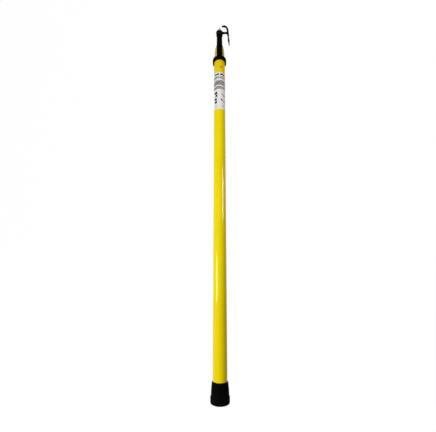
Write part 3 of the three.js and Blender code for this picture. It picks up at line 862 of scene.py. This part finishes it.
def make_slider_and_bung():
    bottom, top = heights("guide_slider")
    outer, bore = radius("guide_slider"), 14
    groove, spigot, seat = outer - 0.5, TIP_BORE - 0.3, TIP_BOTTOM - 0.3
    corners = [
        (outer, bottom, 0.8),
        (outer, bottom + 3.2, 0.2),
        (groove, bottom + 3.5, 0.2),
        (groove, bottom + 4.9, 0.2),
        (outer, bottom + 5.2, 0.2),
        (outer, seat, 0.4),
        (spigot, seat, 0.2),
        (spigot, top, 0.8),
        (bore, top, 0.5),
        (bore, bottom, 0.5),
    ]
    dress(lathe("nylon_guide_slider", corners, 128), "guide_slider")
    make_rubber_disc("rubber_tube_bung", "tube_bung", 1.5)


STRAP_HALF_WIDTH = 13.2
STRAP_FLAT = 18.5  # the floor of the shoulder's slots, out from the axis
STRAP_RADIUS = 25
BARREL_TOP = 1432
RIVETS = {"lower": 1426, "upper": 1460}  # their heights
RIVET_BORE = 3.3


def make_shoulder():
    """The nose plug: a spigot in the tube, a barrel and a dome, slotted front and back."""
    low, top = heights("shoulder")
    dome_height = 66
    barrel = radius("shoulder")
    spigot = TIP_BORE - 0.3
    seat = TIP_TOP + 0.3
    dome_rows = 14
    end = math.asin((top - BARREL_TOP) / dome_height)
    dome = []
    for row in range(dome_rows + 1):
        angle = end * row / dome_rows
        dome.append((barrel * math.cos(angle), BARREL_TOP + dome_height * math.sin(angle)))
    corners = [
        (0, low),
        (spigot, low, 1),
        (spigot, seat),
        (TIP_RADIUS, seat, 0.3),
        (barrel, seat + 2, 0.8),
        *dome,
        (0, top),
    ]
    plug = lathe("shoulder_plug", corners, 144)
    slot_half = STRAP_HALF_WIDTH + 0.3
    slot_bottom = TIP_TOP + 1.2
    beyond = barrel + 3
    cut(
        plug,
        slab("slot", (-slot_half, STRAP_FLAT, slot_bottom), (slot_half, beyond, top + 5)),
        slab("slot", (-slot_half, -beyond, slot_bottom), (slot_half, -STRAP_FLAT, top + 5)),
    )
    soften_edges(plug, 0.6)
    shade(plug)
    dress(plug, "shoulder")


def make_strap(side, bottom, crotch):
    """One strap, flat on the shoulder's slot and round outside. side is -1 for the front."""
    near, far = sorted((side * (STRAP_FLAT + 0.3), side * (STRAP_RADIUS + 2)))
    strap = slab("strap", (-STRAP_HALF_WIDTH, near, bottom), (STRAP_HALF_WIDTH, far, crotch + 4))
    keep_within(strap, cylinder("round", STRAP_RADIUS, bottom - 1, crotch + 5, 128))
    return strap


def flare_outline(crotch, shank):
    """The outline of the root that narrows from the straps to the shank."""
    start, pull, end = 4, 8, 24  # heights above the crotch that shape its curve
    steps = 12
    outline = [(0, crotch), (STRAP_RADIUS, crotch), (STRAP_RADIUS, crotch + start)]
    for step in range(1, steps + 1):
        t = step / steps
        reach = STRAP_RADIUS * (1 - t) ** 2 + shank * (2 * t * (1 - t) + t * t) - 0.2 * t
        outline.append((reach, crotch + start * (1 - t) ** 2 + pull * 2 * t * (1 - t) + end * t * t))
    outline.append((0, outline[-1][1]))
    return outline


def make_head():
    """The cast head: two straps, a flared root, a round shank and a half-thickness disc."""
    crotch = heights("shoulder")[1] + 0.8
    strap_bottom = TIP_TOP + 1.5
    shank, shank_top = 13.2, 1538.5
    disc_front, disc_back = 0.9, 10.0
    beyond = 30
    low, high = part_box("universal_head")
    disc_radius = (high.x - low.x) / 2 / MM
    straps = [make_strap(side, strap_bottom, crotch) for side in (-1, 1)]
    root = lathe("root", flare_outline(crotch, shank), 96)
    low_corner = (-STRAP_HALF_WIDTH, -beyond, crotch - 1)
    keep_within(root, slab("width", low_corner, (STRAP_HALF_WIDTH, beyond, crotch + beyond)))
    body = lathe("shank", disc(shank, crotch, shank_top, 2.5), 96)
    neck_half = shank - 0.6
    neck = slab("neck", (-neck_half, disc_front, shank_top - 12), (neck_half, disc_back, PIVOT))
    pivot_disc = along_y(lathe("disc", disc(disc_radius, disc_front, disc_back, 1.2), 96))
    head = cast("universal_head_casting", [*straps, root, body, neck, pivot_disc], 0.55, 5)
    cut(head, along_y(cylinder("hole", PIVOT_BORE, disc_front - 3, disc_back + 4)))
    for height in RIVETS.values():
        cut(head, along_y(cylinder("hole", RIVET_BORE, -beyond, beyond), height))
    shade(head, 50)
    dress(head, "universal_head")
    reaches = (TOOTH_START, disc_radius - 0.3)
    teeth = toothed_ring("head_disc_teeth", reaches, disc_front + 0.4, disc_front, 0, TOOTH_HEIGHT)
    dress(teeth, "universal_head", replaces=False)


def toothed_ring(name, reaches, back, valley, phase, height):
    """A flat ring about the pivot with 24 radial teeth, which rise from the valley towards -Y.

    reaches are its inner and outer radius. A negative height makes the teeth rise towards +Y.
    """
    steps_per_tooth = 8
    steps = 24 * steps_per_tooth
    points, faces = [], []
    for step in range(steps):
        angle = 2 * math.pi * step / steps
        wave = 1 - abs(((step / steps_per_tooth + phase) % 1) * 2 - 1)
        for reach in reaches:
            tooth = height * wave * (0.55 + 0.45 * reach / reaches[1])
            x, z = reach * math.cos(angle), PIVOT + reach * math.sin(angle)
            points.append((x, back, z))
            points.append((x, valley - tooth, z))
    for step in range(steps):
        a, b = step * 4, (step + 1) % steps * 4
        faces.append([a + 1, b + 1, b + 3, a + 3])
        faces.append([a, a + 2, b + 2, b])
        faces.append([a, b, b + 1, a + 1])
        faces.append([a + 2, a + 3, b + 3, b + 2])
    piece = object_from(name, points, faces)
    shade(piece, 20)
    return piece


def make_rivets():
    for position, height in RIVETS.items():
        seat, top = STRAP_RADIUS + 0.1, STRAP_RADIUS + 2.4
        pin = RIVET_BORE - 0.3
        end = [(pin, seat), (5.5, seat, 0.15), (5.4, seat + 0.9, 0.5), (3.6, top - 0.25, 1.5), (0, top)]
        mirrored = [(corner[0], -corner[1], *corner[2:]) for corner in reversed(end)]
        rivet = along_y(lathe(f"strap_rivet_pin_{position}", mirrored + end, 64), height)
        dress(rivet, f"strap_rivet_{position}")


# ---- lock button ----


def make_lock_button():
    outer_end = BASE_BORE - 0.6
    inner_end = outer_end - 10.9
    flange, shank, crown = 6.5, 5, 2.4
    step = inner_end + 2
    corners = [
        (0, inner_end),
        (flange, inner_end, 0.4),
        (flange, step, 0.4),
        (shank, step, 0.2),
        (shank, outer_end - 0.5, 1.6),
        (crown, outer_end, 1.0),
        (0, outer_end),
    ]
    button = outwards(lathe("brass_lock_button", corners, 72), BUTTON_ANGLE, BUTTON_HEIGHT)
    dress(button, "lock_button")


def make_button_spring():
    """A hairpin of spring strip: up behind the button, over, and down the far wall."""
    front, back = 10.6, -18.0
    leaf, width, leg_top, leg_bottom = 0.8, 10, 36, -6.5
    centre, bend = (front + back) / 2, (front - back) / 2
    turns = 32

    def line(reach):
        arc = [math.pi * step / turns for step in range(turns + 1)]
        bent = [(centre + reach * math.cos(a), leg_top + reach * math.sin(a)) for a in arc]
        return [(centre + reach, leg_bottom), *bent, (centre - reach, leg_bottom)]

    outline = line(bend) + list(reversed(line(bend - leaf)))
    spring = plate("leaf_spring_clip", outline, width)
    soften_edges(spring, 0.15, 2)
    turn = Matrix.Rotation(BUTTON_ANGLE, 4, "Z")
    place(spring, Matrix.Translation((0, 0, BUTTON_HEIGHT * MM)) @ turn)
    shade(spring)
    dress(spring, "button_spring")


# ---- pivot hardware ----


def make_bolt():
    tip, back = depths("pivot_bolt")
    head_face = back - 5.5
    pitch, crest, root, chamfer = 1.25, 3.9, 3.3, 0.9
    thread_end = TOOL_FRONT

    def threaded(r, angle, y):
        if r < root or y > thread_end:
            return r
        wave = abs((y / pitch - angle / (2 * math.pi)) % 1 * 2 - 1)
        return min(r, root + (crest - root) * min(1, wave * 1.35))

    rows = round((thread_end - tip) / pitch * 8)
    run = thread_end - tip - chamfer
    thread = [(crest, tip + chamfer + run * row / rows) for row in range(rows + 1)]
    corners = [(0, tip), (crest - chamfer, tip), *thread, (crest, head_face + 1), (0, head_face + 1)]
    shank = lathe("threaded_shank", corners, 48, threaded)
    shade(shank, 50)
    dress(along_y(shank), "pivot_bolt", replaces=False, look=RUBBED_THREAD)

    hexagon = cylinder("pivot_bolt_head", 7.5, head_face, back, 6)
    crown = cylinder("crown", 30, head_face - 1, back + 1, 96)
    beyond, flat = 7.9, 6.6
    kept = [(0, head_face - 1), (beyond, head_face - 1), (beyond, back - 1.0), (flat, back), (0, back)]
    cut(crown, lathe("kept", kept, 96))
    cut(hexagon, crown)
    soften_edges(hexagon, 0.12, 2)
    shade(hexagon, 20)
    dress(along_y(hexagon), "pivot_bolt")


def make_washers():
    flat = lathe("flat_washer", ring(9, PIVOT_BORE, *depths("nut_washer"), 0.25), 96)
    dress(along_y(flat), "nut_washer", look=GRIMY_STEEL)

    front, back = depths("spring_washer")
    thickness = (back - front) * 0.78
    bore, outer = 4.4, 7.2
    split = math.radians(10)
    steps = 96
    points, faces = [], []
    for step in range(steps + 1):
        angle = split + (2 * math.pi - split) * step / steps
        near = front + (back - front - thickness) * step / steps
        far = near + thickness
        for reach, y in ((bore, near), (outer, near), (outer, far), (bore, far)):
            points.append((reach * math.cos(angle), y, PIVOT + reach * math.sin(angle)))
    for step in range(steps):
        a, b = step * 4, step * 4 + 4
        for side in range(4):
            after = (side + 1) % 4
            faces.append([a + side, a + after, b + after, b + side])
    faces.append([3, 2, 1, 0])
    faces.append([steps * 4 + side for side in range(4)])
    helix = object_from("split_spring_washer", points, faces)
    soften_edges(helix, 0.2, 2)
    shade(helix)
    dress(helix, "spring_washer", look=GRIMY_STEEL)


def flatten_x(piece):
    return place(piece, Matrix.Diagonal((0.62, 1, 1, 1)))


def make_wing_nut():
    """A cast wing nut, its two wings flaring forwards."""
    back = depths("wing_nut")[1]
    face = back - 8.5
    tilt = math.radians(12)
    cone = along_y(lathe("cone", [(0, face), (5.6, face, 0.8), (7.1, back, 0.3), (0, back)], 64))
    wings = []
    for side in (-1, 1):
        spine = [
            (side * 4.0, back - 4.4),
            (side * 6.8, back - 5.6),
            (side * 9.2, back - 7.2),
            (side * 10.8, back - 8.6),
        ]
        path = [(0, y, PIVOT + z) for z, y in spine]
        wings.append(flatten_x(sweep("wing", path, (2.6, 2.3, 2.4, 2.2), 20)))
        wings.append(flatten_x(ball("tip", path[-1], 2.3)))
        inner, outer = side * 4, side * 7.6
        fill = [(inner, back - 1.4), (outer, back - 4.6), (outer, back - 7), (inner, face + 0.8)]
        wings.append(place(plate("web", fill, 2.6), AT_PIVOT @ SIDEWAYS))
    nut = cast("cast_wing_nut", [cone, *wings], 0.28, 4)
    thread = 4.05
    cut(nut, along_y(cylinder("bore", thread, face - 3, back + 3)))
    place(nut, AT_PIVOT @ Matrix.Rotation(tilt, 4, "Y") @ AT_PIVOT.inverted())
    shade(nut, 50)
    dress(nut, "wing_nut")


# ---- hook and prong tool ----


def bezier(points, t):
    """A point on the curve that these control points draw, at t from 0 to 1."""
    while len(points) > 1:
        points = [first.lerp(second, t) for first, second in zip(points, points[1:])]
    return points[0]


def bar_of_tool(tip, tip_radius):
    """The bar: from the hook's tip over its crest, then straight down to the prong."""
    root = on_bar(10)
    controls = [tip, tip + Vector((17, 0, 8.5)), on_bar(32), root]
    curve_steps, straight_steps = 26, 6
    path, sizes = [], []
    for step in range(curve_steps + 1):
        t = step / curve_steps
        path.append(bezier(controls, t))
        sizes.append(tip_radius + 1.3 * min(1, t / 0.22) ** 0.6 + 0.05 * math.sin(math.pi * t))
    for step in range(1, straight_steps + 1):
        share = step / straight_steps
        path.append(root.lerp(on_bar(BAR_FOOT), share))
        sizes.append(BAR_RADIUS - 0.1 * share)
    return sweep("bar", path, sizes)


def arm_of_tool():
    """The arm, thicker where it leaves the hub and where it meets the bar."""
    path, sizes = [], []
    for share in (0, 0.25, 0.4, 0.5, 0.6, 0.7, 0.8, 0.9, 1):
        path.append(Vector((6, TOOL_CENTRE, PIVOT)).lerp(on_bar(0), share))
        sizes.append(4.2 + 3.4 * max(0, 0.55 - share) ** 1.5 + 1.4 * max(0, share - 0.7) / 0.3)
    return place(sweep("arm", path, sizes), ARM_TALLER)


def make_tool():
    """The cast tool: a toothed hub, an arm, and one bar that is the hook above and the prong below."""
    hub_radius = 16
    hub = along_y(lathe("hub", disc(hub_radius, TOOL_FRONT, TOOL_BACK - 0.5, 1.2), 96))
    boss = along_y(lathe("boss", disc(10, TOOL_FRONT, TOOL_FRONT + 2, 0.5), 96))

    hook_tip = Vector((13.5, TOOL_CENTRE, PIVOT + 39))
    tip_radius = 3.1
    bar = bar_of_tool(hook_tip, tip_radius)
    point = ball("point", hook_tip, tip_radius + 0.05, 20)
    arm = arm_of_tool()
    gussets = []
    for side in (-1, 1):
        gussets.append(ball("gusset", on_bar(side * 6.4) + Vector((-3.4, 0, 0)), 2.8, 16))
        gussets.append(ball("gusset", (17.2, TOOL_CENTRE, PIVOT + side * 4.2), 3.2, 16))
    tool = cast("hook_and_prong_casting", [hub, boss, bar, point, arm, *gussets], 0.5, 6)
    bore = along_y(cylinder("bore", PIVOT_BORE, TOOL_FRONT - 3, TOOL_BACK + 3))
    socket = place_on_bar(cylinder("socket", 2.5, BAR_FOOT - 6, BAR_FOOT + 12.3))
    cut(tool, bore, socket)
    shade(tool, 50)
    dress(tool, "disconnect_tool")
    reaches = (TOOTH_START, hub_radius - 0.5)
    teeth = toothed_ring("hub_teeth", reaches, TOOL_BACK - 1.0, TOOL_BACK - 0.5, 0.5, -TOOTH_HEIGHT)
    dress(teeth, "disconnect_tool", replaces=False)


def make_prong():
    sleeve_top, sleeve_bottom = BAR_FOOT - 7, BAR_FOOT - 36.5
    outer, bore, groove_depth = 4.08, 2.3, 0.28
    grooves = []
    for height in (sleeve_bottom + 3, sleeve_bottom + 4.8, sleeve_top - 4.8, sleeve_top - 3):
        for offset, depth in ((-0.5, 0), (-0.2, groove_depth), (0.2, groove_depth), (0.5, 0)):
            grooves.append((outer - depth, height + offset))
    corners = [
        (outer, sleeve_bottom, 0.4),
        *grooves,
        (outer, sleeve_top, 0.6),
        (bore, sleeve_top, 0.2),
        (bore, sleeve_bottom, 0.2),
    ]
    sleeve = place_on_bar(lathe("prong_grip_sleeve", corners, 64))
    dress(sleeve, "prong_sleeve")

    pin, waist, tip_length = 2.2, 3.6, 12.5
    tip_top = sleeve_bottom - 0.3
    tip_bottom = tip_top - tip_length
    corners = [
        (0, tip_bottom),
        (outer, tip_bottom, 1.8),
        (outer, tip_top - 2.6, 0.2),
        (waist, tip_top - 2.2, 0.2),
        (waist, tip_top - 1.6, 0.2),
        (outer, tip_top - 1.2, 0.2),
        (outer, tip_top, 0.3),
        (pin, tip_top, 0.1),
        (pin, PIN_TOP, 0.4),
        (0, PIN_TOP),
    ]
    dress(place_on_bar(lathe("steel_prong_pin", corners, 64)), "prong_pin")


# ---- studio ----


def make_camera():
    camera = link("camera", bpy.data.cameras.new("camera"))
    camera.data.sensor_fit = "HORIZONTAL"
    camera.data.sensor_width = 36
    camera.data.lens = CAMERA_LENS
    camera.data.clip_start = 0.01
    camera.location = CAMERA_PLACE
    camera.rotation_euler = (math.radians(90 + CAMERA_RISE), 0, 0)
    bpy.context.scene.camera = camera


def make_stage():
    """A pale floor that curves up into a backdrop all the way round."""
    look = Look("pale studio paint", Specular_IOR_Level=0.0, Emission_Strength=0.99)
    look.shader.inputs["Emission Color"].default_value = (1, 1, 1, 1)
    look.color(look.mix(look.noise(2, 2), (0.02, 0.02, 0.02), (0.03, 0.03, 0.03)))
    look.roughness(look.patches(30, 3, 0.3, 0.7, 0.85, 0.95))
    floor_radius, bend, height = 4500, 1500, 18000
    profile = [(0, 0), (floor_radius, 0)]
    steps = 12
    for step in range(1, steps + 1):
        angle = math.pi / 2 * step / steps
        profile.append((floor_radius + bend * math.sin(angle), bend - bend * math.cos(angle)))
    profile.append((floor_radius + bend, height))
    cove = lathe("studio_cove", profile, 96)
    cove.data.shade_smooth()
    cove.data.materials.append(look.material)
    cove.visible_diffuse = False
    cove.visible_glossy = False
    cove.visible_shadow = False


def soft_box(name, angle, distance, low, high, width, power, color=(1, 1, 1)):
    """An upright soft light that faces the stick, with its edges at these heights.

    angle is in degrees round from the front, towards +X, and lengths are in metres.
    """
    light = bpy.data.lights.new(name, "AREA")
    light.shape = "RECTANGLE"
    light.size, light.size_y = width, high - low
    light.energy = power
    light.color = color
    lamp = link(name, light)
    turn = math.radians(angle)
    centre = (low + high) / 2
    lamp.location = (distance * math.sin(turn), -distance * math.cos(turn), centre)
    aim = Vector((0, 0, min(centre, 1.0)))
    lamp.rotation_euler = (aim - lamp.location).to_track_quat("-Z", "Y").to_euler()


def make_world():
    """Soft light all round: bright from behind, dim from the left, dimmer and warm elsewhere."""
    world = bpy.data.worlds.new("studio")
    world.use_nodes = True
    nodes, links = world.node_tree.nodes, world.node_tree.links
    direction = nodes.new("ShaderNodeSeparateXYZ")
    links.new(nodes.new("ShaderNodeTexCoord").outputs["Generated"], direction.inputs[0])

    def turn_to(color, axis, start, end):
        """A mix that turns to the colour as the direction's x or y goes from start to end."""
        ramp = nodes.new("ShaderNodeMapRange")
        ramp.interpolation_type = "SMOOTHSTEP"
        ramp.inputs["From Min"].default_value = start
        ramp.inputs["From Max"].default_value = end
        links.new(direction.outputs[axis], ramp.inputs["Value"])
        mix = nodes.new("ShaderNodeMix")
        mix.data_type = "RGBA"
        mix.inputs[COLOR_B].default_value = color
        links.new(ramp.outputs[0], mix.inputs["Factor"])
        return mix

    sides = turn_to((0.14, 0.14, 0.14, 1), "X", 0.35, -0.95)
    sides.inputs[COLOR_A].default_value = (0.06, 0.05, 0.03, 1)
    backdrop = turn_to((0.7, 0.7, 0.7, 1), "Y", 0.05, 0.8)
    links.new(sides.outputs[COLOR_OUT], backdrop.inputs[COLOR_A])
    links.new(backdrop.outputs[COLOR_OUT], nodes["Background"].inputs["Color"])
    bpy.context.scene.world = world


def far_light(name, angle, rise, strength):
    """A soft light so far off that it lights the whole stick alike, and casts no highlights."""
    light = bpy.data.lights.new(name, "SUN")
    light.energy = strength
    light.angle = math.radians(26)
    lamp = link(name, light)
    turn, lift = math.radians(angle), math.radians(rise)
    towards = Vector((math.sin(turn) * math.cos(lift), -math.cos(turn) * math.cos(lift), math.sin(lift)))
    lamp.location = towards * 6
    lamp.visible_glossy = False
    lamp.rotation_euler = towards.to_track_quat("Z", "Y").to_euler()


def make_lights():
    make_world()
    bpy.context.scene.view_settings.view_transform = "Standard"
    far_light("front_key", -38, 12, 2.1)
    soft_box("left_soft_box", -54, 1.6, 0.26, 0.66, 0.5, 9)
    soft_box("right_soft_box", 58, 1.6, 1.04, 1.55, 0.42, 13, (1, 0.95, 0.88))


make_camera()
make_boot()
make_base_tube()
make_plug_and_buffer()
make_collar()
make_collar_ring("nylon_collar_bushing", "collar_bushing", 0.5)
make_collar_ring("felt_wiper_ring", "wiper_ring", 0.9)
make_label()
make_tip_tube()
make_slider_and_bung()
make_shoulder()
make_head()
make_rivets()
make_lock_button()
make_button_spring()
make_bolt()
make_washers()
make_wing_nut()
make_tool()
make_prong()
make_stage()
make_lights()
